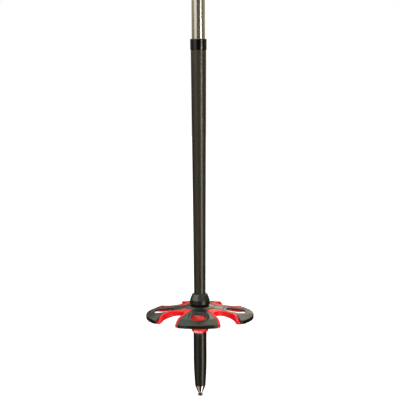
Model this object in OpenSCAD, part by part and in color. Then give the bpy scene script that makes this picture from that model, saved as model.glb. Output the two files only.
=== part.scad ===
// Adjustable two-section ski pole. The carbide nib stands at the origin and the shaft runs up +Z.
// A tapered lower shaft carries the tip and a two-component powder basket. A bright sliding tube
// leaves its collar and runs up into the upper shaft, where a cam lever clamps it.

/* [Tip] */
// Diameter of the carbide nib's crown
nib_d = 4.2; // [3.6:0.1:5]
// Length of the nib below its steel cone
nib_h = 3.1; // [2.4:0.1:4]
// Number of teeth round the crown
nib_teeth = 6; // [4:1:8]
// Length of the steel cone that holds the nib
ferrule_h = 6.6; // [5:0.1:8]
// Diameter of the steel cone where it meets the tip
ferrule_d = 8.9; // [8:0.1:9.4]
// Diameter of the tip at its foot
tip_foot_d = 9.6; // [9.5:0.1:10.5]
// Diameter of the tip's straight part
tip_d = 12; // [11.4:0.1:13]
// Length of the tip's curved foot
tip_curve_h = 27; // [20:1:32]
// Length of the tip's straight part, up to the basket
tip_straight_h = 23.5; // [18:0.5:30]
// Diameter of the neck that the basket screws on
neck_d = 12.6; // [12.2:0.1:14]
// Depth of the shaft's end in the tip
socket_h = 40; // [25:1:48]

/* [Stop cone] */
// Diameter of the stop cone's base
stop_base_d = 18.5; // [17.5:0.1:21]
// Diameter of the stop cone's mouth
stop_mouth_d = 13.9; // [12.8:0.1:15]
// Height of the stop cone
stop_h = 9.8; // [7:0.1:13]

/* [Basket] */
// Outer diameter of the basket
basket_d = 99; // [88:0.5:120]
// Height of the basket's hub, from its foot to the stop cone
hub_h = 25.3; // [22:0.1:32]
// Wall of the hub at its foot
hub_wall = 2; // [1.6:0.1:2.4]
// Fall of the basket's crown from the hub to the rim
droop = 6.9; // [5:0.1:9]
// Part of that fall that lies inside the crown's bend
crown_fall = 3; // [2:0.1:4]
// Distance of the crown's bend from the shaft's axis
crown_at = 41; // [38:0.5:43]
// Turn of the basket on the tip as drawn
basket_turn = -2.5; // [-45:0.5:45]
// Angle from the front petal to each side petal
side_petal_at = 84; // [82:0.5:90]
// Thickness of the hard petals
petal_t = 2.2; // [1.8:0.1:2.6]
// Depth of the lip round the petals' rim
lip_h = 3.6; // [3.2:0.1:5]
// Radial thickness of that lip
lip_t = 2.6; // [2:0.1:3.5]
// Width of a petal at the hub
petal_root_w = 11; // [9:0.2:12]
// Width of a petal across its hole
petal_waist_w = 30; // [28:0.5:32]
// Width of the front and back petals between their outer corners
front_petal_w = 37.6; // [34:0.2:42]
// Width of the side petals between their outer corners
side_petal_w = 56; // [44:0.5:58]
// Radius of the petals' outer corners
petal_corner_r = 1.6; // [1:0.2:3]
// Outer width of the hole in the front and back petals
front_hole_w = 14; // [12:0.2:16]
// Outer width of the hole in the side petals
side_hole_w = 17.4; // [14:0.2:22]
// Length of the holes, from the hub outwards
petal_hole_l = 17; // [14:0.2:18]
// Distance of their middle from the shaft's axis
petal_hole_at = 33; // [32:0.5:34]
// Radius of the holes' corners
hole_corner_r = 4.6; // [3:0.2:5]
// Width of the shallow recess round the holes
recess_border = 3; // [2:0.2:4]
// Depth of that recess
recess_h = 0.7; // [0.4:0.1:1.2]
// Thickness of the soft layer under the petals
under_t = 1.2; // [1:0.1:2]
// Height of the soft web above the petals' face
web_rise = 0.4; // [0.2:0.1:1]
// Width of the soft rim beside each petal
rim_w = 2.3; // [1.6:0.1:3]
// Width of the soft rim at the side petals' outer corners
corner_rim_w = 4.1; // [2:0.1:5]
// Depth of the skirt along the web's outer edge, under the line from the hub to the rim
skirt_h = 3.7; // [3:0.1:5]
// Thickness of the skirt
skirt_t = 1.8; // [1.4:0.1:2.2]
// Least distance of the web's scalloped edge from the shaft's axis
web_r = 24; // [22:0.5:26]

/* [Lower shaft] */
// Outer diameter of the lower shaft at its top
shaft_top_d = 14; // [13.8:0.1:16]
// Outer diameter of the lower shaft at the tip's mouth
shaft_foot_d = 10.6; // [9.6:0.1:10.8]
// Length of the lower shaft that shows, tip to top end
shaft_h = 230.6; // [150:1:320]
// Wall of the tapered part of the lower shaft
shaft_wall = 0.9; // [0.7:0.1:1.1]
// Height of the collar round the lower shaft's top
collar_h = 9.7; // [7:0.1:14]
// Wall of the collar
collar_wall = 0.4; // [0.3:0.05:0.8]
// Thickness of the collar's lip over the shaft's end
collar_lip = 0.8; // [0.5:0.1:1.5]

/* [Sliding tube] */
// Outer diameter of the bright sliding tube
tube_d = 12; // [11:0.1:12.3]
// Wall of the sliding tube
tube_wall = 0.8; // [0.6:0.1:1.2]
// Length of the sliding tube
tube_h = 520; // [480:5:550]
// Depth of its lower end in the lower shaft
tube_seat_h = 32; // [20:1:40]
// Length of it that shows below the clamp as drawn
tube_out_h = 48; // [40:1:120]
// Length of the guide plug on its upper end
plug_h = 9; // [6:0.5:14]

/* [Upper shaft] */
// Wall of the upper shaft
upper_wall = 0.85; // [0.7:0.05:1.2]
// Length of the upper section, clamp to grip top
upper_section_h = 670; // [640:5:760]

/* [Clamp] */
// Height of the clamp's sleeve
sleeve_h = 42; // [38:1:54]
// Wall of the sleeve over the upper shaft
sleeve_wall = 1.6; // [1.3:0.1:2.2]
// Height of the sleeve below the upper shaft's end
jaw_h = 20; // [18:0.5:22]
// Width of the slits in sleeve and band
slit_w = 2.4; // [1.8:0.1:3]
// Height of the steel band
band_h = 15; // [13:0.5:16]
// Thickness of the band
band_t = 2.1; // [1.7:0.1:2.8]
// Thickness of each of the band's lugs
lug_t = 4; // [3.4:0.1:5]
// Diameter of the tension bolt
bolt_d = 4; // [3.5:0.1:4.5]
// Diameter of the lever's pin
lever_pin_d = 3; // [2.5:0.1:3.4]
// Radius of the lever's cam
cam_r = 4.6; // [4.2:0.1:5.4]
// Eccentricity of the cam
cam_throw = 0.4; // [0.2:0.05:0.6]
// Thickness of the washer under the cam
cam_washer_t = 0.8; // [0.6:0.1:1.2]
// Thickness of the lever's curved arm
lever_t = 3; // [2.4:0.1:4]
// Angle that the lever's arm wraps round the band
lever_wrap = 140; // [110:5:160]
// Diameter of the thumb nut
nut_d = 9.4; // [8.4:0.2:9.6]
// Thickness of the thumb nut
nut_t = 4.4; // [3.6:0.2:6]

/* [Grip] */
// Length of the foam sleeve under the grip
foam_h = 128; // [90:2:150]
// Diameter of the foam sleeve
foam_d = 27; // [24:0.5:30]
// Number of grooves round the foam sleeve
foam_grooves = 5; // [2:1:7]
// Height of the trim ring under the foam sleeve
foam_ring_h = 6; // [4:0.5:9]
// Length of the moulded grip
grip_h = 122; // [112:1:130]
// Half depth of the grip at the fingers
grip_front_r = 14; // [13:0.2:16]
// Half depth of the grip at the palm
grip_back_r = 13; // [12:0.2:15]
// Half width of the grip
grip_side_r = 12.6; // [12:0.2:15]
// Height of the finger bumps
finger_bump_h = 1.2; // [0.6:0.1:1.8]
// Number of finger bumps
finger_bumps = 4; // [3:1:4]
// Swell of the grip under the palm
palm_swell = 2.2; // [1:0.2:3]
// Flare of the grip's foot in front
grip_foot_flare = 5; // [3:0.2:7]
// Flare of the grip's top
grip_top_flare = 1.4; // [0.8:0.1:2]
// Height of the hard head on top of the grip
head_h = 27; // [25:0.5:32]
// Distance of the strap horn's back from the shaft's axis
horn_x = 20; // [19.5:0.5:23]
// Depth of the upper shaft's end in the head
head_socket_h = 6; // [4:0.5:8]
// Thickness of the soft cap on the head
cap_t = 3; // [2.2:0.1:4]

/* [Strap] */
// Width of the wrist strap
strap_w = 18; // [14:0.5:20]
// Thickness of the wrist strap
strap_t = 2; // [1.6:0.1:2.6]
// Radius of the loop's round end, inside
strap_loop_r = 30; // [26:0.5:36]
// Distance of that end's centre from the strap pin
strap_drop = 135; // [110:1:150]
// Angle of the loop from the grip's back as it hangs
strap_lean = 22; // [20:0.5:28]
// Diameter of the strap's pin
strap_pin_d = 4; // [3.4:0.1:5]

/* [Hidden] */
$fn = 64;
fit_gap = 0.03;   // radial gap of glued and pressed pieces
run_gap = 0.05;   // radial gap of pieces that turn or slide on each other
slide_gap = 0.15; // radial gap of the sliding tube in the upper shaft
part_gap = 0.3;   // gap between moving pieces that pass each other

// Heights, from the nib upwards.
foot_z = nib_h + ferrule_h;
straight_z = foot_z + tip_curve_h;
neck_z = straight_z + tip_straight_h;
hub_z = neck_z + part_gap;
stop_z = hub_z + hub_h + part_gap;
mouth_z = stop_z + stop_h;
socket_z = mouth_z - socket_h;
shaft_top_z = mouth_z + shaft_h;
tube_z = shaft_top_z - tube_seat_h;
tube_top_z = tube_z + tube_h;
collar_top_z = shaft_top_z + collar_lip;
clamp_z = collar_top_z + tube_out_h;
upper_z = clamp_z + jaw_h;
top_z = clamp_z + upper_section_h;
head_z = top_z - cap_t - head_h;
grip_z = head_z - grip_h;
foam_z = grip_z - foam_h;
foam_ring_z = foam_z - foam_ring_h;
upper_top_z = head_z + head_socket_h;

// Tip: the nib's shank in the steel cone, and the cone's stem in the tip.
nib_shank_d = nib_d - 0.7;
nib_shank_h = ferrule_h * 0.6;
stem_r = tip_foot_d / 2 - 2;
stem_h = 8;

// The lower shaft's taper, as outer radius over height.
taper = (shaft_top_d - shaft_foot_d) / 2 / shaft_h;
function shaft_r(z) = shaft_foot_d / 2 + taper * (z - mouth_z);

// Upper section.
upper_bore_d = tube_d + 2 * slide_gap;
upper_d = upper_bore_d + 2 * upper_wall;
sleeve_r = upper_d / 2 + fit_gap + sleeve_wall;
band_in_r = sleeve_r + fit_gap;
band_r = band_in_r + band_t;
band_z = clamp_z + 5;
band_mid_z = band_z + band_h / 2;
bolt_x = band_r + bolt_d / 2 + 2.8;
lug_x = bolt_x + bolt_d / 2 + 2.6;
lug_y = slit_w / 2 + lug_t;
washer_y = lug_y + cam_washer_t + 2 * fit_gap;
cam_y = washer_y + run_gap + cam_throw + cam_r;
eye_t = 5;
lever_in_r = band_r + 0.6;
head_r = grip_front(1) - 0.4;

// Basket.
basket_r = basket_d / 2;
web_edge_r = basket_r - 0.8;
hub_bore_r = neck_d / 2 + run_gap;
ring_r = stop_base_d / 2 + 5.7;
ring_z = hub_z + hub_h - 1.9;
crown_r = 9; // radius of the crown's bend
petal_at = [0, side_petal_at, 180, 360 - side_petal_at, 360];
petals = 4;
wrap_gap = 0.04; // gap between the two basket materials

// Strap.
strap_eye_r = strap_pin_d / 2 + run_gap + strap_t;
strap_pin_x = horn_x - 1.5 - strap_eye_r + strap_t;
strap_pin_z = head_z + head_h / 2;

// A polygon's points with each corner rounded to its own radius by a short arc.
function unit(v) = v / norm(v);
function corner_arc(a, p, b, r, steps) =
    r <= 0 ? [p] :
    let (
        u = unit(a - p),
        w = unit(b - p),
        half = acos(u * w) / 2,
        centre = p + unit(u + w) * r / sin(half),
        from = p + u * r / tan(half) - centre,
        sweep = 180 - 2 * half,
        turn = sign(u.x * w.y - u.y * w.x)
    )
    [for (i = [0 : steps])
        let (t = -turn * sweep * i / steps)
        centre + [from.x * cos(t) - from.y * sin(t), from.x * sin(t) + from.y * cos(t)]];
function rounded(points, radii, steps = 5) =
    let (n = len(points))
    [for (i = [0 : n - 1])
        each corner_arc(points[(i + n - 1) % n], points[i], points[(i + 1) % n], radii[i], steps)];
function arc(r, a0, a1, steps) =
    [for (i = [0 : steps]) let (a = a0 + (a1 - a0) * i / steps) r * [cos(a), sin(a)]];

module revolve(points) {
    rotate_extrude(convexity = 6) polygon(points);
}

module tube(outer_r, inner_r, z, h) {
    translate([0, 0, z])
        difference() {
            cylinder(r = outer_r, h = h);
            translate([0, 0, -1]) cylinder(r = inner_r, h = h + 2);
        }
}

// Tip: a cupped carbide crown, a steel cone and one moulding with the stop cone.
module carbide_nib() {
    crown_h = nib_h * 0.5;
    color("dimgray")
        difference() {
            union() {
                cylinder(d = nib_d, h = crown_h);
                cylinder(d = nib_shank_d, h = nib_h + nib_shank_h);
            }
            translate([0, 0, -nib_d * 0.42]) sphere(d = nib_d * 1.15);
            for (i = [0 : nib_teeth - 1])
                rotate(i * 360 / nib_teeth)
                    translate([nib_d / 2, 0, 0]) rotate([0, -35, 0])
                        cylinder(d = nib_d * 0.22, h = nib_d, center = true, $fn = 24);
        }
}

module tip_ferrule() {
    bore_r = nib_shank_d / 2 + fit_gap;
    nose_r = nib_d / 2 + 0.05;
    color("silver")
        difference() {
            revolve(rounded(
                [[0, nib_h], [nose_r, nib_h], [ferrule_d / 2, foot_z - 1.2], [ferrule_d / 2, foot_z],
                 [stem_r, foot_z], [stem_r, foot_z + stem_h], [0, foot_z + stem_h]],
                [0, 0.2, 0.8, 0, 0, 0.4, 0]));
            translate([0, 0, nib_h - 1]) cylinder(r = bore_r, h = 1 + nib_shank_h + fit_gap);
        }
}

module tip_body() {
    curve_steps = 8;
    foot_r = tip_foot_d / 2;
    body_r = tip_d / 2;
    neck_r = neck_d / 2;
    outline = concat(
        [[0, foot_z], [foot_r, foot_z]],
        [for (i = [1 : curve_steps])
            let (t = i / curve_steps)
            [foot_r + (body_r - foot_r) * sin(90 * t), foot_z + tip_curve_h * t]],
        [[body_r, neck_z], [neck_r, neck_z], [neck_r, stop_z]],
        rounded(
            [[stop_base_d / 2 - 0.6, stop_z], [stop_base_d / 2, stop_z + 0.6],
             [stop_base_d / 2 - 0.2, stop_z + stop_h * 0.42], [stop_mouth_d / 2, mouth_z],
             [stop_mouth_d / 2 - 1.5, mouth_z]],
            [0, 0.4, 3, 0.7, 0]),
        [[0, mouth_z]]);
    color("darkslategray")
        difference() {
            revolve(outline);
            translate([0, 0, foot_z - 1]) cylinder(r = stem_r + fit_gap, h = 1 + stem_h + fit_gap);
            translate([0, 0, socket_z - fit_gap])
                cylinder(r1 = shaft_r(socket_z) + fit_gap, r2 = shaft_r(mouth_z + 1) + fit_gap,
                         h = socket_h + 1 + fit_gap);
        }
}

// Basket: hard petals seated in the pockets of a soft, scalloped web with a screw hub.
// Height of the crown, which falls gently to its bend and steeply from there to the rim.
function crown_z(r) = r < crown_at
    ? ring_z - crown_fall * (r - ring_r) / (crown_at - ring_r)
    : ring_z - crown_fall - (droop - crown_fall) * (r - crown_at) / (basket_r - crown_at);
// Height of the straight line from the hub's ring to the rim.
function chord_z(r) = ring_z - droop * (r - ring_r) / (basket_r - ring_r);
function petal_w(i) = i % 2 == 0 ? front_petal_w : side_petal_w;

// A sheet of revolution between two depths under the crown, with its bend rounded.
module crowned_sheet(depth0, depth1, r0, r1) {
    bend = r0 < crown_at - crown_r ? [crown_at] : [];
    under = [for (r = concat([r0], bend, [r1])) [r, crown_z(r) - depth1]];
    over = [for (r = concat([r1], bend, [r0])) [r, crown_z(r) - depth0]];
    points = concat(under, over);
    revolve(rounded(points, [for (p = points) p.x == crown_at ? crown_r : 0]));
}

// Plan of petal i along +X, grown by a rim at its sides and by a gap all round.
module petal_plan(i, rim = 0, gap = 0) {
    root_x = ring_r - 3 - gap;
    root_y = petal_root_w / 2 + rim + gap;
    waist_y = petal_waist_w / 2 + rim + gap;
    waist_x = petal_hole_at + 2;
    rim_r = rim > 0 ? web_edge_r : basket_r;
    rim_steps = 8;
    corner_rim = i % 2 == 0 ? rim : rim * corner_rim_w / rim_w;
    edge_a = asin((petal_w(i) / 2 + corner_rim) / rim_r);
    corner_r = petal_corner_r + rim / 2;
    waist_r = 16;
    points = concat(
        [[root_x, -root_y], [waist_x, -waist_y]],
        [for (p = arc(rim_r + gap, -edge_a, edge_a, rim_steps)) p + [0, sign(p.y) * gap]],
        [[waist_x, waist_y], [root_x, root_y]]);
    last = len(points) - 1;
    polygon(rounded(points, [for (k = [0 : last])
        k == 1 || k == last - 1 ? waist_r : k == 2 || k == last - 2 ? corner_r : 0]));
}

module petal_cut(i, rim = 0, gap = 0) {
    linear_extrude(height = 4 * basket_r, center = true) petal_plan(i, rim, gap);
}

// The hole in petal i, narrower towards the hub and widened all round by a gap.
module petal_hole(i, gap = 0) {
    outer_y = (i % 2 == 0 ? front_hole_w : side_hole_w) / 2 + gap;
    inner_y = outer_y - 2;
    inner_x = petal_hole_at - petal_hole_l / 2 - gap;
    outer_x = petal_hole_at + petal_hole_l / 2 + gap;
    corner_r = hole_corner_r + gap;
    linear_extrude(height = 4 * basket_r, center = true)
        polygon(rounded(
            [[inner_x, -inner_y], [outer_x, -outer_y], [outer_x, outer_y], [inner_x, inner_y]],
            [corner_r, corner_r, corner_r, corner_r]));
}

// The shallow recess round that hole, with the space over it.
module petal_recess(i) {
    intersection() {
        crowned_sheet(-2, recess_h, hub_bore_r, basket_r);
        petal_hole(i, recess_border);
    }
}

module each_petal() {
    for ($petal = [0 : petals - 1])
        rotate(basket_turn - 90 + petal_at[$petal]) children();
}

// The web between petal i and the next, out to a scallop that touches both rims, drawn in by inset.
module web_gap(i, inset) {
    half = (petal_at[i + 1] - petal_at[i]) / 2;
    free = half - atan2(petal_waist_w / 2 + rim_w, petal_hole_at + 2);
    centre = web_r / (1 - sin(free));
    rotate(basket_turn - 90 + petal_at[i] + half)
        difference() {
            linear_extrude(height = 4 * basket_r, center = true)
                polygon([[0, 0], [centre, -centre * tan(half - 8)], [centre, centre * tan(half - 8)]]);
            translate([centre, 0, 0])
                cylinder(r = centre * sin(free) + inset, h = 5 * basket_r, center = true);
        }
}

// Everything inside the soft outline, drawn in by inset: the petals with their rims and the web between.
module soft_outline(inset) {
    each_petal() petal_cut($petal, rim_w - inset);
    for (i = [0 : petals - 1]) web_gap(i, inset);
}

module basket_frame() {
    color("darkslategray")
        difference() {
            union() {
                revolve([[hub_bore_r, ring_z - petal_t], [ring_r, ring_z - petal_t],
                         [ring_r, ring_z], [ring_r - 3, ring_z + 1.1], [hub_bore_r, hub_z + hub_h]]);
                each_petal()
                    intersection() {
                        union() {
                            crowned_sheet(0, petal_t, hub_bore_r + 1, basket_r);
                            crowned_sheet(0.5, lip_h, basket_r - lip_t, basket_r);
                        }
                        petal_cut($petal);
                    }
            }
            each_petal() {
                petal_recess($petal);
                petal_hole($petal);
            }
        }
}

module basket_core() {
    foot_r = hub_bore_r + 0.8;
    waist_r = hub_bore_r + hub_wall;
    seat_z = ring_z - petal_t - wrap_gap;
    flare_r = ring_r - 1.2;
    bottom = petal_t + wrap_gap + under_t;
    skirt_z = chord_z(web_edge_r) - skirt_h;
    edge_z = chord_z(web_edge_r) - 0.6 * skirt_h;
    bend_z = crown_z(crown_at) + web_rise;
    color("red")
        difference() {
            union() {
                revolve(rounded(
                    [[hub_bore_r - 1, hub_z], [foot_r, hub_z], [waist_r, hub_z + 2.6],
                     [waist_r, ring_z - 11], [flare_r, crown_z(flare_r) - bottom],
                     [flare_r, seat_z], [hub_bore_r - 1, seat_z]],
                    [0, 0, 1.6, 4, 0, 0, 0]));
                difference() {
                    union() {
                        intersection() {
                            revolve(rounded(
                                [[ring_r - 3, ring_z - bottom], [crown_at, bend_z - bottom],
                                 [web_edge_r, skirt_z], [web_edge_r, edge_z], [crown_at, bend_z],
                                 [ring_r - 3, ring_z + web_rise / 2]],
                                [0, crown_r, 0, 0, crown_r, 0]));
                            soft_outline(0);
                        }
                        difference() {
                            intersection() {
                                revolve([[ring_r, ring_z - skirt_h], [web_edge_r, skirt_z],
                                         [web_edge_r, edge_z], [crown_at, bend_z - petal_t],
                                         [ring_r, ring_z - 1]]);
                                soft_outline(0);
                            }
                            soft_outline(skirt_t);
                        }
                    }
                    each_petal() {
                        intersection() {
                            crowned_sheet(-4, petal_t + wrap_gap, hub_bore_r, basket_r + 1);
                            petal_cut($petal, 0, wrap_gap);
                        }
                        intersection() {
                            crowned_sheet(-4, lip_h + 4, basket_r - lip_t - wrap_gap, basket_r + 1);
                            petal_cut($petal, 0, wrap_gap);
                        }
                        petal_hole($petal, 1.6);
                    }
                    revolve([[0, seat_z], [ring_r + wrap_gap, seat_z],
                             [ring_r + wrap_gap, ring_z + 4], [0, ring_z + 4]]);
                }
            }
            translate([0, 0, hub_z - 1]) cylinder(r = hub_bore_r, h = hub_h + 2);
        }
}

// Lower shaft, its collar and the tube that slides.
module lower_shaft() {
    seat_r = tube_d / 2 + fit_gap;
    color("darkslategray")
        difference() {
            translate([0, 0, socket_z])
                cylinder(r1 = shaft_r(socket_z), r2 = shaft_r(shaft_top_z), h = shaft_top_z - socket_z);
            translate([0, 0, socket_z - 1])
                cylinder(r1 = shaft_r(socket_z - 1) - shaft_wall, r2 = shaft_r(tube_z) - shaft_wall,
                         h = tube_z - socket_z + 1);
            translate([0, 0, tube_z - 0.01]) cylinder(r = seat_r, h = tube_seat_h + 1);
        }
}

module shaft_collar() {
    bore_r = shaft_top_d / 2 + fit_gap;
    outer_r = shaft_top_d / 2 + collar_wall;
    mouth_r = tube_d / 2 + run_gap;
    color("black")
        revolve(rounded(
            [[bore_r, collar_top_z - collar_h], [outer_r, collar_top_z - collar_h], [outer_r, collar_top_z],
             [mouth_r, collar_top_z], [mouth_r, shaft_top_z + fit_gap], [bore_r, shaft_top_z + fit_gap]],
            [0, 0.15, 0.35, 0, 0, 0], 4));
}

module slide_tube() {
    color("silver") tube(tube_d / 2, tube_d / 2 - tube_wall, tube_z, tube_h);
}

module tube_plug() {
    guide_r = upper_bore_d / 2 - run_gap;
    spigot_r = tube_d / 2 - tube_wall - fit_gap;
    spigot_h = 14;
    color("dimgray")
        revolve(rounded(
            [[0, tube_top_z - spigot_h], [spigot_r, tube_top_z - spigot_h], [spigot_r, tube_top_z],
             [guide_r, tube_top_z], [guide_r, tube_top_z + plug_h], [0, tube_top_z + plug_h]],
            [0, 0.8, 0, 0, 1.2, 0]));
}

// Upper shaft and the cam-lever clamp on its lower end.
module upper_shaft() {
    color("darkslategray") tube(upper_d / 2, upper_bore_d / 2, upper_z, upper_top_z - upper_z);
}

module lock_sleeve() {
    jaw_r = tube_d / 2 + run_gap;
    seat_r = upper_d / 2 + fit_gap;
    flange_r = band_r - 0.3;
    slit_top = upper_z + 9;
    color("black")
        difference() {
            revolve(rounded(
                [[jaw_r, clamp_z], [sleeve_r + 0.8, clamp_z], [flange_r, clamp_z + 2.2],
                 [flange_r, band_z - fit_gap], [sleeve_r, band_z - fit_gap],
                 [sleeve_r, band_z + band_h + fit_gap], [flange_r, band_z + band_h + fit_gap],
                 [flange_r, band_z + band_h + 3], [sleeve_r, band_z + band_h + 8],
                 [sleeve_r - 0.5, clamp_z + sleeve_h], [seat_r, clamp_z + sleeve_h],
                 [seat_r, upper_z - fit_gap], [jaw_r, upper_z - fit_gap]],
                [0, 0.4, 0.8, 0, 0, 0, 0, 1, 4, 0.3, 0, 0, 0], 4));
            translate([0, -slit_w / 2, clamp_z - 1]) cube([flange_r + 1, slit_w, slit_top - clamp_z + 1]);
        }
}

module lock_band() {
    lug_h = band_h - 3;
    lug_corner_r = 3.6;
    color("dimgray")
        difference() {
            union() {
                translate([0, 0, band_z]) cylinder(r = band_r, h = band_h);
                translate([0, lug_y, band_mid_z]) rotate([90, 0, 0])
                    linear_extrude(height = 2 * lug_y)
                        polygon(rounded(
                            [[0, -lug_h / 2], [lug_x, -lug_h / 2], [lug_x, lug_h / 2], [0, lug_h / 2]],
                            [0, lug_corner_r, lug_corner_r, 0]));
            }
            translate([0, 0, band_z - 1]) cylinder(r = band_in_r, h = band_h + 2);
            translate([0, -slit_w / 2, band_z - 1]) cube([lug_x + 1, slit_w, band_h + 2]);
            translate([bolt_x, 0, band_mid_z]) rotate([90, 0, 0])
                cylinder(d = bolt_d + 2 * run_gap, h = 2 * lug_y + 2, center = true);
        }
}

module tension_bolt() {
    eye_r = lever_pin_d / 2 + 2;
    color("silver")
        translate([bolt_x, -cam_y, band_mid_z])
            difference() {
                union() {
                    rotate([-90, 0, 0]) cylinder(d = bolt_d, h = cam_y + lug_y + nut_t + 1);
                    cylinder(r = eye_r, h = eye_t, center = true);
                }
                cylinder(d = lever_pin_d + 2 * run_gap, h = eye_t + 2, center = true);
            }
}

module tension_nut() {
    flutes = 12;
    color("silver")
        translate([bolt_x, lug_y + run_gap, band_mid_z]) rotate([-90, 0, 0])
            difference() {
                cylinder(d = nut_d, h = nut_t);
                translate([0, 0, -1]) cylinder(d = bolt_d + 2 * run_gap, h = nut_t + 2);
                for (i = [0 : flutes - 1])
                    rotate(i * 360 / flutes)
                        translate([nut_d / 2 + 0.35, 0, -1]) cylinder(d = 1.5, h = nut_t + 2, $fn = 24);
            }
}

module cam_washer() {
    color("silver")
        translate([bolt_x, -lug_y - fit_gap, band_mid_z]) rotate([90, 0, 0])
            difference() {
                cylinder(d = bolt_d + 5, h = cam_washer_t);
                translate([0, 0, -1]) cylinder(d = bolt_d + 2 * run_gap, h = cam_washer_t + 2);
            }
}

// Lever: an eccentric cam and an arm that hugs the band, with a thumb tip turned out.
module lever_slab(points) {
    translate([0, 0, band_z]) linear_extrude(height = band_h, convexity = 4) polygon(points);
}

module lock_lever() {
    start_a = -52;
    end_a = start_a - lever_wrap;
    outer_r = lever_in_r + lever_t;
    tip = (lever_in_r + outer_r) / 2 * [cos(end_a), sin(end_a)];
    slot_r = cam_r + cam_throw + 0.3;
    slot_h = eye_t + 2 * run_gap;
    color("red")
        difference() {
            union() {
                translate([bolt_x, -cam_y + cam_throw, band_z]) cylinder(r = cam_r, h = band_h);
                lever_slab(concat(
                    arc(lever_in_r, end_a, start_a, 24),
                    [[bolt_x - cam_r * 0.5, -cam_y + cam_r * 0.6],
                     [bolt_x - cam_r * 0.1, -cam_y - cam_r * 0.7]],
                    arc(outer_r, start_a - 14, end_a, 24)));
                translate([tip.x, tip.y, band_z]) cylinder(d = lever_t + 1.2, h = band_h);
            }
            translate([bolt_x, -cam_y, band_mid_z]) {
                cylinder(d = lever_pin_d + 2 * fit_gap, h = band_h + 2, center = true);
                cylinder(r = slot_r, h = slot_h, center = true);
            }
        }
}

module lever_pin() {
    color("silver")
        translate([bolt_x, -cam_y, band_z + 0.4]) cylinder(d = lever_pin_d, h = band_h - 0.8);
}

// Grip: trim ring, grooved foam, moulded handle, hard head and soft cap.
module foam_ring() {
    bore_r = upper_d / 2 + fit_gap;
    color("red")
        revolve(rounded(
            [[bore_r, foam_ring_z], [bore_r + 1.6, foam_ring_z], [foam_d / 2 - 1.5, foam_z - 1.5],
             [foam_d / 2 - 1.5, foam_z - fit_gap], [bore_r, foam_z - fit_gap]],
            [0, 0.6, 1, 0, 0]));
}

module foam_grip() {
    bore_r = upper_d / 2 + fit_gap;
    groove_r = 1.6;
    pitch = 14;
    first = foam_h / 2 - (foam_grooves - 1) * pitch / 2;
    color("dimgray")
        difference() {
            revolve(rounded(
                [[bore_r, foam_z], [foam_d / 2 - 1, foam_z], [foam_d / 2, foam_z + 12],
                 [foam_d / 2, grip_z - 12], [foam_d / 2 - 0.8, grip_z - fit_gap],
                 [bore_r, grip_z - fit_gap]],
                [0, 1, 8, 8, 0.6, 0]));
            for (i = [0 : foam_grooves - 1])
                translate([0, 0, foam_z + first + i * pitch])
                    rotate_extrude() translate([foam_d / 2 + 0.6, 0]) circle(r = groove_r, $fn = 32);
        }
}

// Half depth of the grip in front (fingers, -X) and behind (palm, +X), and its half width, at share t.
function bump(t, at, spread) = exp(-pow((t - at) / spread, 2));
function fingers(t) = finger_bump_h * sin(360 * finger_bumps * (t - 0.04)) * bump(t, 0.46, 0.4);
function grip_front(t) =
    grip_front_r + fingers(t) + grip_foot_flare * bump(t, 0, 0.07) + 1.7 * grip_top_flare * bump(t, 1, 0.1);
function grip_back(t) =
    grip_back_r + palm_swell * bump(t, 0.45, 0.24) + 0.6 * grip_top_flare * bump(t, 1, 0.12);
function grip_side(t) =
    grip_side_r + palm_swell / 2 * bump(t, 0.42, 0.3)
    + grip_top_flare * (bump(t, 0, 0.09) + bump(t, 1, 0.12));
function grip_section(t, steps) =
    [for (k = [0 : steps - 1])
        let (
            a = k * 360 / steps,
            depth = cos(a) > 0 ? grip_back(t) : grip_front(t)
        )
        [depth * cos(a), grip_side(t) * sin(a)]];

module grip_body() {
    around = 36;
    along = 34;
    skin = [for (j = [0 : along])
        let (t = j / along)
        for (p = grip_section(t, around)) [p.x, p.y, grip_z + (grip_h - fit_gap) * t]];
    sides = [for (j = [0 : along - 1], k = [0 : around - 1])
        let (a = j * around + k, b = j * around + (k + 1) % around)
        each [[a, a + around, b + around], [a, b + around, b]]];
    low = [for (k = [0 : around - 1]) k];
    high = [for (k = [around - 1 : -1 : 0]) along * around + k];
    color("dimgray")
        difference() {
            polyhedron(points = skin, faces = concat(sides, [low, high]), convexity = 6);
            translate([0, 0, grip_z - 1]) cylinder(r = upper_d / 2 + fit_gap, h = grip_h + 2);
        }
}

module grip_head() {
    shoulder_z = head_z + head_h * 0.62;
    slot_w = strap_w + 2 * part_gap;
    slot_x = strap_pin_x - strap_eye_r - part_gap;
    cheek = 3.2;
    horn_h = strap_pin_z - head_z + strap_eye_r + 4.6;
    color("black")
        difference() {
            union() {
                revolve(rounded(
                    [[0, head_z], [head_r, head_z], [head_r + 1.8, shoulder_z],
                     [head_r - 2, head_z + head_h], [0, head_z + head_h]],
                    [0, 0, 6, 2.4, 0]));
                translate([0, slot_w / 2 + cheek, head_z]) rotate([90, 0, 0])
                    linear_extrude(height = slot_w + 2 * cheek)
                        polygon(rounded(
                            [[0, 0], [horn_x - 1.5, 0], [horn_x, horn_h * 0.5],
                             [horn_x - 2, horn_h], [0, horn_h]],
                            [0, 1, 4, 3, 0]));
            }
            translate([0, 0, head_z - 1])
                cylinder(r = upper_d / 2 + fit_gap, h = head_socket_h + 1 + fit_gap);
            translate([slot_x, -slot_w / 2, head_z - 1])
                cube([horn_x, slot_w, strap_pin_z - head_z + strap_eye_r + part_gap + 2.5]);
            translate([strap_pin_x, 0, strap_pin_z]) rotate([90, 0, 0])
                cylinder(d = strap_pin_d + 2 * fit_gap, h = slot_w + 5, center = true);
        }
}

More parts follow.
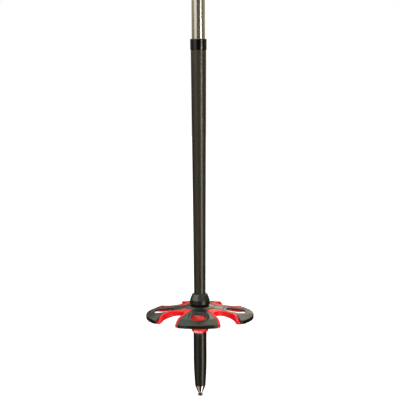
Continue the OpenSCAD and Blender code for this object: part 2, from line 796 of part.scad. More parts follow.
module grip_cap() {
    cap_r = head_r - 3.2;
    z = head_z + head_h + fit_gap;
    color("red")
        revolve(rounded(
            [[0, z], [cap_r, z], [cap_r - 1, z + cap_t * 0.7], [0, z + cap_t]],
            [0, 0.3, 1.4, 0]));
}

module strap_pin() {
    color("silver")
        translate([strap_pin_x, 0, strap_pin_z]) rotate([90, 0, 0])
            cylinder(d = strap_pin_d, h = strap_w + 2 * part_gap + 4.6, center = true);
}

// Wrist strap: an eye round the pin and a hanging loop with one round end.
module strap_side_plan(grow) {
    r = strap_loop_r + grow;
    eye = strap_eye_r - strap_t + grow;
    lean = asin((r - eye) / strap_drop);
    circle(r = r);
    polygon([r * [cos(lean), sin(lean)], [eye * cos(lean), strap_drop + eye * sin(lean)],
             [-eye * cos(lean), strap_drop + eye * sin(lean)], r * [-cos(lean), sin(lean)]]);
}

module wrist_strap() {
    neck = strap_drop - 14;
    color("dimgray")
        translate([strap_pin_x, 0, strap_pin_z]) rotate([90, 0, 0]) rotate(strap_lean)
            difference() {
                linear_extrude(height = strap_w, center = true, convexity = 6)
                    translate([0, -strap_drop]) {
                        difference() {
                            strap_side_plan(strap_t);
                            intersection() {
                                strap_side_plan(0);
                                translate([-strap_drop, -strap_drop])
                                    square([2 * strap_drop, strap_drop + neck]);
                            }
                        }
                        translate([0, strap_drop]) circle(r = strap_eye_r);
                    }
                cylinder(d = strap_pin_d + 2 * run_gap, h = strap_w + 2, center = true);
            }
}

carbide_nib();
tip_ferrule();
tip_body();
basket_core();
basket_frame();
lower_shaft();
shaft_collar();
slide_tube();
tube_plug();
upper_shaft();
lock_sleeve();
lock_band();
tension_bolt();
tension_nut();
cam_washer();
lock_lever();
lever_pin();
foam_ring();
foam_grip();
grip_body();
grip_head();
grip_cap();
strap_pin();
wrist_strap();
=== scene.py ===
"""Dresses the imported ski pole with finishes, a moulded basket, a webbing strap and a white studio."""

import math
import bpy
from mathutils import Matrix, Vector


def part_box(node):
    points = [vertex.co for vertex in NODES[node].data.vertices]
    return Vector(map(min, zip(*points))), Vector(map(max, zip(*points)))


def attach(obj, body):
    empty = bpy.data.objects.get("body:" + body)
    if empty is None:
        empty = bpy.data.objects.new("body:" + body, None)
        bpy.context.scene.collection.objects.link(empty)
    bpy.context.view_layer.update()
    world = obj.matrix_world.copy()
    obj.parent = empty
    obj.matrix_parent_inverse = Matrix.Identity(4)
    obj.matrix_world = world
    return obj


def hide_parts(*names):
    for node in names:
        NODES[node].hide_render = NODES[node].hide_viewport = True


bl_info = {
    "name": "Adjustable Ski Pole",
    "version": (1, 0, 0),
    "blender": (4, 5, 0),
    "location": "3D View > Sidebar > Ski Pole",
    "description": "Finishes, moulded basket, wrist strap and studio for an adjustable ski pole",
    "category": "Object",
}

import bmesh
import bpy
from bpy.props import FloatProperty, FloatVectorProperty, PointerProperty
from bpy.types import Operator, Panel, PropertyGroup
from mathutils import Matrix, Vector

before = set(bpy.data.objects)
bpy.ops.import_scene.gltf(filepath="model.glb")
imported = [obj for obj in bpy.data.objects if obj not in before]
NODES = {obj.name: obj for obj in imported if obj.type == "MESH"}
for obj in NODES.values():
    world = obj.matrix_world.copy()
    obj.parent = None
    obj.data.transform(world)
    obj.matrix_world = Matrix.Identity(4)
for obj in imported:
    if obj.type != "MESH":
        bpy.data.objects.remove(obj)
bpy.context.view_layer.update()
MM = 0.001
WHITE = (1, 1, 1, 1)


def linear(code):
    """Linear colour of an sRGB hex code such as e8101a."""
    parts = [int(code[i : i + 2], 16) / 255 for i in (0, 2, 4)]
    return tuple(c / 12.92 if c <= 0.04045 else ((c + 0.055) / 1.055) ** 2.4 for c in parts)


def colour(name, description, code):
    """A colour property whose default is an sRGB hex code."""
    return FloatVectorProperty(
        name=name, description=description, default=linear(code), subtype="COLOR", min=0, max=1
    )


def size(name, description, mm, low, high):
    """A length property, with its default and range in millimetres."""
    return FloatProperty(
        name=name, description=description, default=mm * MM, min=low * MM, max=high * MM,
        unit="LENGTH", subtype="DISTANCE", precision=5,
    )


class SkiPoleColours(PropertyGroup):
    """Colours of the pole's materials"""

    shaft: colour("Shaft", "Satin coat on both shafts", "2a281d")
    tube: colour("Tube", "Polished sliding tube", "c6c2b8")
    collar: colour("Collar", "Gloss collar on the lower shaft", "040500")
    nylon: colour("Nylon", "Tip, clamp sleeve and grip head", "15150e")
    petal: colour("Petals", "Hard frame of the basket", "12150f")
    web: colour("Web", "Soft web of the basket and cap of the grip", "e31019")
    trim: colour("Trim", "Lever of the clamp and ring under the foam", "cf1820")
    foam: colour("Foam", "Foam sleeve under the grip", "26272a")
    grip: colour("Grip", "Moulded rubber grip", "1d1e20")
    strap: colour("Strap", "Woven wrist strap", "191a1c")
    thread: colour("Thread", "Sewing thread on the strap", "b9b4a6")


class SkiPoleSizes(PropertyGroup):
    """Sizes of the wrist strap, and the camera's place"""

    webbing: size("Webbing", "Thickness of the strap's webbing", 1.7, 1, 2)
    overlap: size("Overlap", "Length of the strap's sewn overlap", 22, 12, 30)
    stitch: size("Stitch", "Length of one stitch", 2.6, 1.5, 4)
    drop: size("Drop", "Distance from the strap's pin to the middle of its loop", 135, 110, 160)
    loop: size("Loop", "Radius of the strap's loop", 31, 25, 36)
    eye: size("Eye", "Radius of the webbing's middle round the pin", 3.05, 2.9, 3.2)
    camera_height: size("Camera height", "Camera above the floor", 303, 100, 900)
    camera_distance: size("Camera distance", "Camera from the shaft", 1040, 500, 3000)
    aim_height: size("Aim height", "Height on the shaft that the camera looks at", 182.2, 0, 600)


# Nodes and materials


def add(tree, kind, inputs=None, **settings):
    """Adds a node, sets its options and sets or links its inputs."""
    node = tree.nodes.new(kind)
    for key, value in settings.items():
        setattr(node, key, value)
    for key, value in (inputs or {}).items():
        if isinstance(value, bpy.types.NodeSocket):
            tree.links.new(value, node.inputs[key])
        else:
            node.inputs[key].default_value = value
    return node


def begin(name, inputs):
    """A material with one Principled shader, and its Object coordinates."""
    material = bpy.data.materials.new(name)
    material.use_nodes = True
    tree = material.node_tree
    tree.nodes.clear()
    shader = add(tree, "ShaderNodeBsdfPrincipled", inputs)
    add(tree, "ShaderNodeOutputMaterial", {"Surface": shader.outputs[0]})
    where = add(tree, "ShaderNodeTexCoord").outputs["Object"]
    return material, tree, shader, where


def shades(base, low, high):
    """Two shades of a colour, as RGBA, for the ends of a ramp."""
    return [tuple(min(1, c * k) for c in base[:3]) + (1,) for k in (low, high)]


def vary(tree, shader, factor, base, tones, roughness):
    """Drives base colour and roughness from one pattern between two levels each."""
    dark, light = shades(base, *tones)
    # The Mix node's colours are its sockets 6 and 7, because its names repeat.
    mix = add(tree, "ShaderNodeMix", {0: factor, 6: dark, 7: light}, data_type="RGBA")
    rough = add(
        tree, "ShaderNodeMapRange", {"Value": factor, "To Min": roughness[0], "To Max": roughness[1]}
    )
    tree.links.new(mix.outputs[2], shader.inputs["Base Color"])
    tree.links.new(rough.outputs[0], shader.inputs["Roughness"])


def emboss(tree, shader, height, depth_mm, strength):
    """Raises a pattern on the surface by a depth."""
    bump = add(
        tree, "ShaderNodeBump", {"Height": height, "Distance": depth_mm * MM, "Strength": strength}
    )
    tree.links.new(bump.outputs[0], shader.inputs["Normal"])


def moulded(name, base, roughness, grain_mm, depth_mm, inputs=None):
    """Moulded plastic: an even colour with a faint cloud, and a spark-eroded grain from the mould.

    A real grain is a few hundredths of a millimetre wide, so it is drawn much coarser to show.
    """
    material, tree, shader, where = begin(name, {"IOR": 1.5, **(inputs or {})})
    cloud_mm = 9
    cloud = add(
        tree, "ShaderNodeTexNoise", {"Vector": where, "Scale": 1 / (cloud_mm * MM), "Detail": 3.0}
    )
    vary(tree, shader, cloud.outputs[0], base, (0.9, 1.1), roughness)
    grain = add(
        tree, "ShaderNodeTexNoise", {"Vector": where, "Scale": 1 / (grain_mm * MM), "Detail": 2.0}
    )
    emboss(tree, shader, grain.outputs[0], depth_mm, 0.5)
    return material


def drawn(name, base, roughness, metallic, line_mm, depth_mm, inputs=None):
    """Drawn tube: long lines along the shaft, from the die, that stretch its highlights.

    Real die lines are about a tenth of a millimetre wide, so they are drawn coarser to show.
    """
    material, tree, shader, where = begin(name, {"Metallic": metallic, **(inputs or {})})
    along = 0.012
    stretch = add(tree, "ShaderNodeMapping", {"Vector": where, "Scale": (1, 1, along)})
    lines = add(
        tree, "ShaderNodeTexNoise",
        {"Vector": stretch.outputs[0], "Scale": 1 / (line_mm * MM), "Detail": 2.0},
    )
    vary(tree, shader, lines.outputs[0], base, (0.94, 1.06), roughness)
    emboss(tree, shader, lines.outputs[0], depth_mm, 0.4)
    return material


def turned(name, base, roughness, ring_mm, depth_mm):
    """Turned metal: fine rings across the axis from the lathe, drawn wide enough to show."""
    material, tree, shader, where = begin(name, {"Metallic": 1.0})
    round_axis = 0.06
    stretch = add(tree, "ShaderNodeMapping", {"Vector": where, "Scale": (round_axis, round_axis, 1)})
    rings = add(
        tree, "ShaderNodeTexNoise",
        {"Vector": stretch.outputs[0], "Scale": 1 / (ring_mm * MM), "Detail": 2.0},
    )
    vary(tree, shader, rings.outputs[0], base, (0.86, 1.08), roughness)
    emboss(tree, shader, rings.outputs[0], depth_mm, 0.4)
    return material


def foam_rubber(name, base):
    """Closed-cell EVA foam: skived open cells about half a millimetre wide, drawn at 1 mm to show."""
    material, tree, shader, where = begin(name, {"IOR": 1.45, "Specular IOR Level": 0.3})
    cell_mm = 1.0
    cells = add(
        tree, "ShaderNodeTexVoronoi", {"Vector": where, "Scale": 1 / (cell_mm * MM)}, feature="SMOOTH_F1"
    )
    vary(tree, shader, cells.outputs[0], base, (1.25, 0.7), (0.8, 0.95))
    emboss(tree, shader, cells.outputs[0], 0.3, 0.7)
    return material


def grip_rubber(name, base):
    """Moulded thermoplastic rubber: matt, with rows of small raised dots every 2.4 mm for hold."""
    material, tree, shader, where = begin(name, {"IOR": 1.5, "Specular IOR Level": 0.35})
    dot_mm = 2.4
    dots = add(
        tree, "ShaderNodeTexVoronoi", {"Vector": where, "Scale": 1 / (dot_mm * MM), "Randomness": 0.15}
    )
    raised_dots_painted_lighter = add(
        tree, "ShaderNodeMapRange",
        {"Value": dots.outputs[0], "From Min": 0.22, "From Max": 0.36, "To Min": 1.0, "To Max": 0.0},
    )
    # The dots are painted lighter than the rubber between them, a painted highlight on their tops; their
    # raised bump and lower roughness are real.
    vary(tree, shader, raised_dots_painted_lighter.outputs[0], base, (0.85, 1.25), (0.72, 0.55))
    emboss(tree, shader, raised_dots_painted_lighter.outputs[0], 0.35, 0.6)
    return material


def webbing(name, base):
    """Woven nylon webbing: a herringbone of 1.5 mm yarns along the strap's own UV map."""
    material, tree, shader, _ = begin(
        name, {"IOR": 1.5, "Specular IOR Level": 0.3, "Sheen Weight": 0.25, "Sheen Roughness": 0.4}
    )
    yarn_mm, bone_mm = 1.5, 3.0
    uv = add(tree, "ShaderNodeUVMap", uv_map="weave")
    split = add(tree, "ShaderNodeSeparateXYZ", {0: uv.outputs[0]})
    zigzag = add(
        tree, "ShaderNodeMath", {0: split.outputs[1], 1: bone_mm * MM}, operation="PINGPONG"
    )
    slant = add(tree, "ShaderNodeMath", {0: split.outputs[0], 1: zigzag.outputs[0]}, operation="ADD")
    phase = add(
        tree, "ShaderNodeMath", {0: slant.outputs[0], 1: 2 * math.pi / (yarn_mm * MM)}, operation="MULTIPLY"
    )
    wave = add(tree, "ShaderNodeMath", {0: phase.outputs[0]}, operation="SINE")
    level = add(
        tree, "ShaderNodeMapRange", {"Value": wave.outputs[0], "From Min": -1.0, "From Max": 1.0}
    )
    vary(tree, shader, level.outputs[0], base, (0.6, 1.5), (0.85, 0.65))
    emboss(tree, shader, level.outputs[0], 0.25, 0.7)
    return material


FINISHES = {}


def finishes(colours):
    """Every material of the pole, made once, by a short name."""
    if FINISHES:
        return FINISHES
    FINISHES.update(
        # Satin lacquer over drawn alloy: near black and warm, with one soft streak of light.
        shaft=drawn(
            "Satin lacquered aluminium", colours.shaft, roughness=(0.26, 0.34), metallic=0.0,
            line_mm=1.2, depth_mm=0.0015, inputs={"IOR": 1.5, "Specular IOR Level": 0.5},
        ),
        # Polished alloy: nearly a mirror, with faint lengthwise lines.
        tube=drawn(
            "Polished aluminium", colours.tube, roughness=(0.13, 0.17), metallic=0.92,
            line_mm=1.2, depth_mm=0.0003,
        ),
        # Gloss ABS: deep black with a sharp white line.
        collar=moulded("Gloss ABS", colours.collar, roughness=(0.10, 0.13), grain_mm=3.0, depth_mm=0.001),
        # Glass-filled nylon: satin black with a fine grain.
        nylon=moulded(
            "Glass-filled nylon", colours.nylon, roughness=(0.28, 0.36), grain_mm=0.9, depth_mm=0.012,
            inputs={"Specular IOR Level": 0.5},
        ),
        # Hard nylon of the petals: charcoal, with a soft sheen on its upper faces.
        petal=moulded("Charcoal nylon", colours.petal, roughness=(0.22, 0.3), grain_mm=0.9, depth_mm=0.006),
        # Soft TPU of the web: saturated red with a broad soft shine, a little translucent.
        web=moulded(
            "Red TPU", colours.web, roughness=(0.3, 0.38), grain_mm=1.1, depth_mm=0.006,
            inputs={
                "Specular IOR Level": 0.28, "Subsurface Weight": 0.06,
                "Subsurface Radius": (2 * MM, 0.6 * MM, 0.4 * MM),
            },
        ),
        # Hard ABS of the lever and the trim ring: a darker red with a satin shine.
        trim=moulded("Red ABS", colours.trim, roughness=(0.28, 0.36), grain_mm=1.2, depth_mm=0.01),
        # Polished steel cone: bright, with the lathe's rings.
        steel=turned(
            "Polished steel", linear("cfccc4"), roughness=(0.12, 0.22), ring_mm=0.5, depth_mm=0.01
        ),
        # Ground carbide: dark grey metal, dull from the wheel.
        carbide=turned(
            "Ground tungsten carbide", linear("5c5a58"), roughness=(0.3, 0.5), ring_mm=0.3, depth_mm=0.03
        ),
        # Zinc plating: pale grey metal with a soft shine.
        zinc=turned(
            "Zinc-plated steel", linear("b4b5b6"), roughness=(0.24, 0.36), ring_mm=0.4, depth_mm=0.008
        ),
        # Dark anodising: graphite grey with a metal's sheen.
        band=turned(
            "Dark anodised aluminium", linear("3a3b3d"), roughness=(0.3, 0.42), ring_mm=0.7, depth_mm=0.006
        ),
        # Skived foam: matt black, with open cells that catch no light.
        foam=foam_rubber("EVA foam", colours.foam),
        # Grip rubber: matt black, with raised dots a little shinier than the rest and painted lighter as a
        # painted highlight.
        grip=grip_rubber("Moulded grip rubber", colours.grip),
        # Webbing: black yarns in a herringbone, with a nylon sheen.
        strap=webbing("Nylon webbing", colours.strap),
        # Sewing thread: pale and a little rough.
        thread=moulded(
            "Bonded nylon thread", colours.thread, roughness=(0.5, 0.65), grain_mm=0.5, depth_mm=0.05
        ),
    )
    return FINISHES


# Making pieces


def coat(node, material):
    """Gives a CAD node its finish."""
    slots = NODES[node].data.materials
    slots.clear()
    slots.append(material)


def mesh_object(name, bm, material):
    """Turns a bmesh into an object of the scene with one material."""
    mesh = bpy.data.meshes.new(name)
    bm.to_mesh(mesh)
    bm.free()
    mesh.materials.append(material)
    obj = bpy.data.objects.new(name, mesh)
    bpy.context.scene.collection.objects.link(obj)
    return obj


def piece(name, bm, material, body, nodes=()):
    """Turns a bmesh into a piece that rides on a body and stands for the given nodes."""
    obj = mesh_object(name, bm, material)
    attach(obj, body)
    if nodes:
        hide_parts(*nodes)
    return obj


def merged_copy(node):
    """A CAD node's mesh as one connected bmesh."""
    bm = bmesh.new()
    bm.from_mesh(NODES[node].data)
    bmesh.ops.remove_doubles(bm, verts=bm.verts, dist=0.001 * MM)
    return bm


def shade(bm, degrees):
    """Smooth shading, with edges sharper than an angle kept crisp."""
    for face in bm.faces:
        face.smooth = True
    for edge in bm.edges:
        edge.smooth = len(edge.link_faces) == 2 and edge.calc_face_angle(0) < math.radians(degrees)


def soften(obj, voxel_mm, rounds):
    """Rounds every edge of a moulding, as its mould does."""
    skin = obj.modifiers.new("Even skin", "REMESH")
    skin.mode = "VOXEL"
    skin.voxel_size = voxel_mm * MM
    skin.use_smooth_shade = True
    edges = obj.modifiers.new("Round edges", "SMOOTH")
    edges.factor = 0.5
    edges.iterations = rounds


# Operators, one for each group of pieces


class SKIPOLE_OT_shafts(Operator):
    """Finishes the lower shaft, its collar, the sliding tube, its plug and the upper shaft"""

    bl_idname = "skipole.shafts"
    bl_label = "Shafts"

    def execute(self, context):
        looks = finishes(context.scene.skipole_colours)
        coat("lower_shaft", looks["shaft"])
        coat("upper_shaft", looks["shaft"])
        coat("slide_tube", looks["tube"])
        coat("shaft_collar", looks["collar"])
        coat("tube_plug", looks["nylon"])
        return {"FINISHED"}


class SKIPOLE_OT_tip(Operator):
    """Finishes the tip, its steel cone and the carbide nib"""

    bl_idname = "skipole.tip"
    bl_label = "Tip"

    def execute(self, context):
        looks = finishes(context.scene.skipole_colours)
        coat("tip_body", looks["nylon"])
        coat("tip_ferrule", looks["steel"])
        coat("carbide_nib", looks["carbide"])
        return {"FINISHED"}


class SKIPOLE_OT_basket(Operator):
    """Moulds the basket's hard petals and soft web"""

    bl_idname = "skipole.basket"
    bl_label = "Basket"

    def execute(self, context):
        looks = finishes(context.scene.skipole_colours)
        mouldings = (
            # piece, node, material, slot
            ("soft_web", "basket_core", "web", "red_soft_plastic"),
            ("hard_petals", "basket_frame", "petal", "charcoal_plastic"),
        )
        for name, node, look, slot in mouldings:
            moulding = piece(name, merged_copy(node), looks[look], "basket", [node])
            soften(moulding, voxel_mm=0.5, rounds=3)
        return {"FINISHED"}


class SKIPOLE_OT_clamp(Operator):
    """Finishes the clamp's sleeve, band, lever, bolt, nut, washer and pin"""

    bl_idname = "skipole.clamp"
    bl_label = "Clamp"

    def execute(self, context):
        looks = finishes(context.scene.skipole_colours)
        coat("lock_sleeve", looks["nylon"])
        coat("lock_band", looks["band"])
        coat("lock_lever", looks["trim"])
        for node in ("tension_bolt", "tension_nut", "cam_washer", "lever_pin"):
            coat(node, looks["zinc"])
        return {"FINISHED"}


class SKIPOLE_OT_grip(Operator):
    """Finishes the foam, the head and its pin, and smooths the moulded grip"""

    bl_idname = "skipole.grip"
    bl_label = "Grip"

    def execute(self, context):
        looks = finishes(context.scene.skipole_colours)
        coat("foam_ring", looks["trim"])
        coat("foam_grip", looks["foam"])
        coat("grip_head", looks["nylon"])
        coat("grip_cap", looks["web"])
        coat("strap_pin", looks["zinc"])
        bm = merged_copy("grip_body")
        shade(bm, degrees=50)
        grip = piece("rubber_grip", bm, looks["grip"], "upper_section", ["grip_body"])
        smooth = grip.modifiers.new("Smooth skin", "SUBSURF")
        smooth.levels = smooth.render_levels = 1
        return {"FINISHED"}


class SKIPOLE_OT_strap(Operator):
    """Hangs the webbing strap on its pin and sews its overlap"""

    bl_idname = "skipole.strap"
    bl_label = "Wrist strap"

    def execute(self, context):
        sizes = context.scene.skipole_sizes
        looks = finishes(context.scene.skipole_colours)
        low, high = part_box("wrist_strap")
        width = high.y - low.y
        low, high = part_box("strap_pin")
        route = self.route((low + high) / 2, sizes)
        bm, length = self.ribbon(route, width)
        strap = piece("wrist_webbing", bm, looks["strap"], "strap", ["wrist_strap"])
        thick = strap.modifiers.new("Webbing", "SOLIDIFY")
        thick.thickness = sizes.webbing
        thick.offset = 0
        seam = self.seam(route, width, sizes)
        piece("strap_stitches", seam, looks["thread"], "strap")
        return {"FINISHED"}

    def route(self, pin, sizes):
        """The strap's centre line: from its sewn end up over the pin, down, round and up to the seam."""
        lean = math.radians(22)
        inner_bow, outer_bow = 1.2 * MM, 1.5 * MM
        seam_drop, layer_gap = 5 * MM, 0.1 * MM
        down = Vector((math.sin(lean), 0, -math.cos(lean)))
        out = Vector((math.cos(lean), 0, math.sin(lean)))
        eye, loop, drop = sizes.eye, sizes.loop, sizes.drop
        tilt = math.asin((loop - eye) / drop)

        def spot(along, across):
            """A spot in the loop's plane, some way down and out from the pin."""
            return pin + down * along + out * across

        def arc(centre, radius, first, last, steps):
            turns = [first + (last - first) * i / steps for i in range(steps + 1)]
            return [spot(centre - radius * math.sin(a), radius * math.cos(a)) for a in turns]

        def leg(start, end, bow, steps):
            """A leg's inner points, on a line that bows outwards."""
            shares = [i / steps for i in range(1, steps)]
            return [start.lerp(end, t) + out * (bow * math.sin(math.pi * t)) for t in shares]

        def outer(along, lift):
            """A spot on the outer leg, some way down from the pin."""
            across = eye * math.cos(tilt) + along * math.tan(tilt) + lift
            return spot(along + eye * math.sin(tilt), across)

        over_pin = arc(0, eye, -tilt, math.pi + tilt, 40)
        bottom = arc(drop, loop, math.pi + tilt, 2 * math.pi - tilt, 60)
        sewn_end = outer(sizes.overlap, 0)
        seam_top = outer(seam_drop, sizes.webbing + layer_gap)
        return [
            sewn_end, *leg(sewn_end, over_pin[0], 0, 8), *over_pin,
            *leg(over_pin[-1], bottom[0], inner_bow, 30), *bottom,
            *leg(bottom[-1], seam_top, outer_bow, 30), seam_top,
        ]

    def ribbon(self, route, width):
        """A flat band along the route, with its length and width as UV for the weave."""
        rows = 10
        bm = bmesh.new()
        run = bm.verts.layers.float.new("run")
        weave = bm.loops.layers.uv.new("weave")
        length = 0
        row = []
        for i, point in enumerate(route):
            length += (point - route[max(i - 1, 0)]).length
            row.append(bm.verts.new(point - Vector((0, width / 2, 0))))
            row[-1][run] = length
        edges = [bm.edges.new(pair) for pair in zip(row, row[1:])]
        for _ in range(rows):
            made = bmesh.ops.extrude_edge_only(bm, edges=edges)["geom"]
            moved = {part for part in made if isinstance(part, bmesh.types.BMVert)}
            lines = [part for part in made if isinstance(part, bmesh.types.BMEdge)]
            edges = [line for line in lines if moved.issuperset(line.verts)]
            bmesh.ops.translate(bm, verts=list(moved), vec=(0, width / rows, 0))
        for face in bm.faces:
            face.smooth = True
            for loop in face.loops:
                loop[weave].uv = (loop.vert[run], loop.vert.co.y + width / 2)
        return bm, length

    def seam(self, route, width, sizes):
        """A box of stitches on the outer face of the sewn overlap."""
        top_margin, both_margins, side_margin = 1.5 * MM, 8 * MM, 2.5 * MM
        across = Vector((0, 1, 0))
        along = (route[-2] - route[-1]).normalized()
        face = across.cross(along)
        length = sizes.overlap - both_margins
        half = width / 2 - side_margin
        origin = route[-1] + along * top_margin + face * (sizes.webbing / 2)
        bm = bmesh.new()
        for side in (-half, half):
            self.stitches(bm, origin + across * side, along, face, length, sizes.stitch)
        for down in (0, length):
            start = origin + along * down - across * half
            self.stitches(bm, start, across, face, 2 * half, sizes.stitch)
        return bm

    def stitches(self, bm, start, way, face, length, stitch):
        """A row of stitches, each a slim bead of thread, spread evenly over a length."""
        thread_r = 0.3 * MM
        pitch = 1.35 * stitch
        count = round(length / pitch)
        turn = Matrix((face.cross(way), face, way)).transposed().to_4x4()
        bead = Matrix.Diagonal((thread_r, thread_r, stitch / 2, 1))
        for i in range(count):
            place = Matrix.Translation(start + way * (length * (i + 0.5) / count))
            made = bmesh.ops.create_uvsphere(
                bm, u_segments=8, v_segments=6, radius=1, matrix=place @ turn @ bead
            )
            for vert in made["verts"]:
                for each in vert.link_faces:
                    each.smooth = True


class SKIPOLE_OT_stage(Operator):
    """Sets up the white floor, soft studio light and the camera"""

    bl_idname = "skipole.stage"
    bl_label = "Stage"

    def execute(self, context):
        scene = context.scene
        scene.view_settings.view_transform = "Standard"
        self.world(scene)
        self.floor()
        self.cards()
        self.lights(scene)
        self.camera(scene)
        return {"FINISHED"}

    def seen(self, tree):
        """1 where a ray comes from the camera, a reflection or through something clear."""
        path = add(tree, "ShaderNodeLightPath")
        pair = add(
            tree, "ShaderNodeMath",
            {0: path.outputs["Is Camera Ray"], 1: path.outputs["Is Glossy Ray"]}, operation="MAXIMUM",
        )
        return add(
            tree, "ShaderNodeMath",
            {0: pair.outputs[0], 1: path.outputs["Is Transmission Ray"]}, operation="MAXIMUM",
        ).outputs[0]

    def world(self, scene):
        """White where it is seen, and a softer fill as light."""
        fill_strength = 0.45
        world = bpy.data.worlds.new("White studio")
        world.use_nodes = True
        scene.world = world
        tree = world.node_tree
        tree.nodes.clear()
        seen = self.seen(tree)
        fill = add(tree, "ShaderNodeBackground", {"Color": WHITE, "Strength": fill_strength})
        white = add(tree, "ShaderNodeBackground", {"Color": WHITE, "Strength": 1.0})
        mix = add(tree, "ShaderNodeMixShader", {0: seen, 1: fill.outputs[0], 2: white.outputs[0]})
        add(tree, "ShaderNodeOutputWorld", {"Surface": mix.outputs[0]})

    def blank(self, name):
        """A material with no nodes yet, and its tree."""
        material = bpy.data.materials.new(name)
        material.use_nodes = True
        material.node_tree.nodes.clear()
        return material, material.node_tree

    def floor(self):
        """White paper that takes the pole's shadow, and fades to plain white away from it."""
        half_side = 4
        grey = (0.75, 0.75, 0.75, 1)
        fade_from, fade_to = 0.3, 1.2
        near_glow = 0.62
        material, tree = self.blank("White paper sweep")
        paper = add(tree, "ShaderNodeBsdfDiffuse", {"Color": grey})
        where = add(tree, "ShaderNodeTexCoord").outputs["Object"]
        far = add(tree, "ShaderNodeVectorMath", {0: where}, operation="LENGTH")
        own = add(
            tree, "ShaderNodeMapRange",
            {"Value": far.outputs["Value"], "From Min": fade_from, "From Max": fade_to, "To Min": near_glow},
        )
        seen = add(tree, "ShaderNodeMath", {0: self.seen(tree), 1: own.outputs[0]}, operation="MULTIPLY")
        shine = add(tree, "ShaderNodeEmission", {"Color": WHITE, "Strength": seen.outputs[0]})
        total = add(tree, "ShaderNodeAddShader", {0: paper.outputs[0], 1: shine.outputs[0]})
        add(tree, "ShaderNodeOutputMaterial", {"Surface": total.outputs[0]})
        bm = bmesh.new()
        bmesh.ops.create_grid(bm, x_segments=2, y_segments=2, size=half_side)
        mesh_object("floor", bm, material)

    def cards(self):
        """Cards round the pole, lying and upright, that only its gloss shows.

        The lamps light the pole, and the cards are what it mirrors: a bright strip at the right, a soft
        box at the left, browns between them and dark ones that part its edges from the white paper. The
        pale ones at the back and above put a sheen on the petals.
        """
        # Heights and radii in mm. Heights on the wall are named for the piece that mirrors them.
        paper, over_paper, collar, tube, tube_top, top = 0.3, 0.6, 265, 330, 480, 900
        near, tip, wall, before_wall = 4, 450, 1700, 1690
        cards = (
            # name, angles round the pole from the camera, inner and outer end as (radius, height),
            # colour, strength
            # Floor, seen by the tip and, further out, by the shaft.
            ("tip_front", -28, 37, (near, paper), (tip, paper), "3a3428", 1.0),
            ("tip_softbox", -68, -32, (near, paper), (tip, paper), "fff3dc", 0.55),
            ("shaft_front", -28, 37, (tip, paper), (wall, paper), "6c6150", 1.0),
            ("shaft_softbox", -68, -32, (tip, paper), (wall, paper), "fff3dc", 0.15),
            ("floor_strip", 38, 54, (near, paper), (wall, paper), "fff5e5", 5.8),
            ("floor_right", 55, 80, (near, paper), (wall, paper), "6c6150", 1.0),
            ("floor_back", 205, 250, (850, over_paper), (1150, over_paper), "d8cfc2", 1.0),
            ("floor_dark", 80, 288, (near, paper), (wall, paper), "2c2920", 1.0),
            # Low walls, seen by the shaft's upper half and the collar.
            ("wall_front", -28, 33, (wall, 0), (wall, tube), "6c6150", 1.0),
            ("wall_strip", 38, 54, (wall, 0), (wall, collar), "fff5e5", 5.8),
            ("collar_strip", 40, 52, (wall, collar), (wall, tube), "fff5e5", 34.0),
            ("wall_right", 55, 80, (wall, 0), (wall, tube), "6c6150", 1.0),
            ("wall_dark", 80, 288, (wall, 0), (wall, tube), "2c2920", 1.0),
            ("wall_softbox", -68, -32, (wall, 0), (wall, tube), "fff3dc", 0.15),
            # Upper walls, seen by the bright tube.
            ("tube_front", -28, 33, (wall, tube), (wall, top), "3c362c", 1.0),
            ("tube_strip", 34, 50, (wall, tube), (wall, tube_top), "fffaf2", 2.3),
            ("tube_right", 55, 104, (wall, tube), (wall, top), "80765f", 1.0),
            ("tube_back", 104, 248, (wall, tube), (wall, tube_top), "a09884", 1.0),
            ("tube_left", -112, -72, (wall, tube), (wall, tube_top), "908a78", 1.0),
            ("tube_softbox", -68, -32, (wall, tube), (wall, tube_top), "fff8ee", 1.3),
            # What the stop cone, the petals and the foot of the basket's hub show.
            ("cone_left", -110, -25, (wall, 640), (wall, 1300), "fff3dc", 4.6),
            ("petal_right", 166, 178, (before_wall, 0), (before_wall, top), "f0e4d0", 2.2),
            ("petal_left", 182, 194, (before_wall, 0), (before_wall, top), "7a7365", 1.0),
            ("back_right", 100, 180, (wall, tube_top), (wall, top), "d8cfc2", 1.0),
            ("back_left", 180, 248, (wall, tube_top), (wall, top), "8a8374", 1.0),
            ("above_right", 120, 180, (wall, top), (300, 2300), "ece6d0", 2.2),
            ("above_left", 180, 240, (wall, top), (300, 2300), "e0f0dc", 1.4),
            ("hub_foot", -60, 20, (7.4, 59.3), (9.8, 59.3), "fff0e8", 16.0),
        )
        for name, first, last, inner, outer, code, strength in cards:
            material, tree = self.blank(name)
            shine = add(tree, "ShaderNodeEmission", {"Color": (*linear(code), 1), "Strength": strength})
            add(tree, "ShaderNodeOutputMaterial", {"Surface": shine.outputs[0]})
            bm = bmesh.new()
            ends = [bm.verts.new((0, -radius * MM, height * MM)) for radius, height in (inner, outer)]
            edge = bm.edges.new(ends)
            bmesh.ops.rotate(bm, verts=ends, matrix=Matrix.Rotation(math.radians(first), 3, "Z"))
            bmesh.ops.spin(
                bm, geom=[*ends, edge], axis=(0, 0, 1), angle=math.radians(last - first), steps=12
            )
            card = mesh_object(name, bm, material)
            card.visible_camera = card.visible_diffuse = card.visible_shadow = False

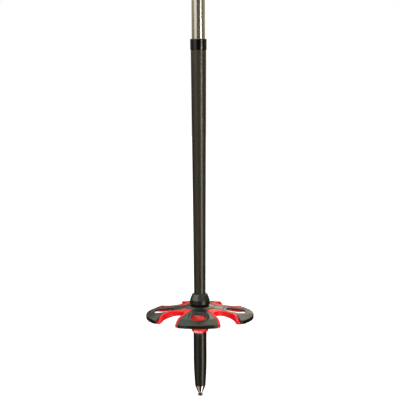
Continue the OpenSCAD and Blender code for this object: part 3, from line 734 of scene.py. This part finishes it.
    def lights(self, scene):
        """A strip and two soft boxes. Cards stand in for the reflections of those that gloss doesn't show."""
        aim_at = Vector((0, 0, 0.4))
        boxes = (
            # name, angle round the pole from the camera, distance, height, width and tallness in metres,
            # watts, colour, whether gloss shows it
            ("strip_right", 46, 1.3, 0.7, 0.2, 1.4, 13, "fff5e5", False),
            ("softbox_left", -50, 1.4, 0.7, 0.8, 1.4, 2.4, "fff3dc", False),
            ("softbox_top", -35, 0.8, 1.8, 1.2, 1.2, 17, "ffffff", True),
        )
        for name, angle, distance, height, wide, tall, watts, code, mirrored in boxes:
            light = bpy.data.lights.new(name, "AREA")
            light.shape = "RECTANGLE"
            light.size, light.size_y = wide, tall
            light.energy = watts
            light.color = linear(code)
            lamp = bpy.data.objects.new(name, light)
            a = math.radians(angle)
            lamp.location = (distance * math.sin(a), -distance * math.cos(a), height)
            lamp.rotation_euler = (aim_at - lamp.location).to_track_quat("-Z", "Y").to_euler()
            lamp.visible_glossy = mirrored
            scene.collection.objects.link(lamp)

    def camera(self, scene):
        """The photograph's camera, a little above and beside the pole, and turned a little."""
        sizes = scene.skipole_sizes
        beside = 0.65 * MM
        roll = Matrix.Rotation(math.radians(-0.32), 3, "Z")
        data = bpy.data.cameras.new("photo_camera")
        data.lens = 103.66
        data.sensor_width = 36
        camera = bpy.data.objects.new("photo_camera", data)
        camera.location = (beside, -sizes.camera_distance, sizes.camera_height)
        aim = Vector((beside, 0, sizes.aim_height)) - camera.location
        camera.rotation_euler = (aim.to_track_quat("-Z", "Y").to_matrix() @ roll).to_euler()
        scene.collection.objects.link(camera)
        scene.camera = camera


OPERATORS = (
    SKIPOLE_OT_shafts, SKIPOLE_OT_tip, SKIPOLE_OT_basket, SKIPOLE_OT_clamp,
    SKIPOLE_OT_grip, SKIPOLE_OT_strap, SKIPOLE_OT_stage,
)


class SKIPOLE_PT_sidebar(Panel):
    """Lists the pole's sizes, colours and steps"""

    bl_idname = "SKIPOLE_PT_sidebar"
    bl_label = "Ski Pole"
    bl_space_type = "VIEW_3D"
    bl_region_type = "UI"
    bl_category = "Ski Pole"

    def draw(self, context):
        for group in (context.scene.skipole_sizes, context.scene.skipole_colours):
            box = self.layout.box()
            for key in group.__annotations__:
                box.prop(group, key)
        for operator in OPERATORS:
            self.layout.operator(operator.bl_idname)


CLASSES = (SkiPoleColours, SkiPoleSizes, *OPERATORS, SKIPOLE_PT_sidebar)


def register():
    for item in CLASSES:
        bpy.utils.register_class(item)
    bpy.types.Scene.skipole_colours = PointerProperty(type=SkiPoleColours)
    bpy.types.Scene.skipole_sizes = PointerProperty(type=SkiPoleSizes)


def unregister():
    del bpy.types.Scene.skipole_sizes
    del bpy.types.Scene.skipole_colours
    for item in reversed(CLASSES):
        bpy.utils.unregister_class(item)


def main():
    register()
    bpy.ops.skipole.shafts()
    bpy.ops.skipole.tip()
    bpy.ops.skipole.basket()
    bpy.ops.skipole.clamp()
    bpy.ops.skipole.grip()
    bpy.ops.skipole.strap()
    bpy.ops.skipole.stage()


if __name__ == "__main__":
    main()
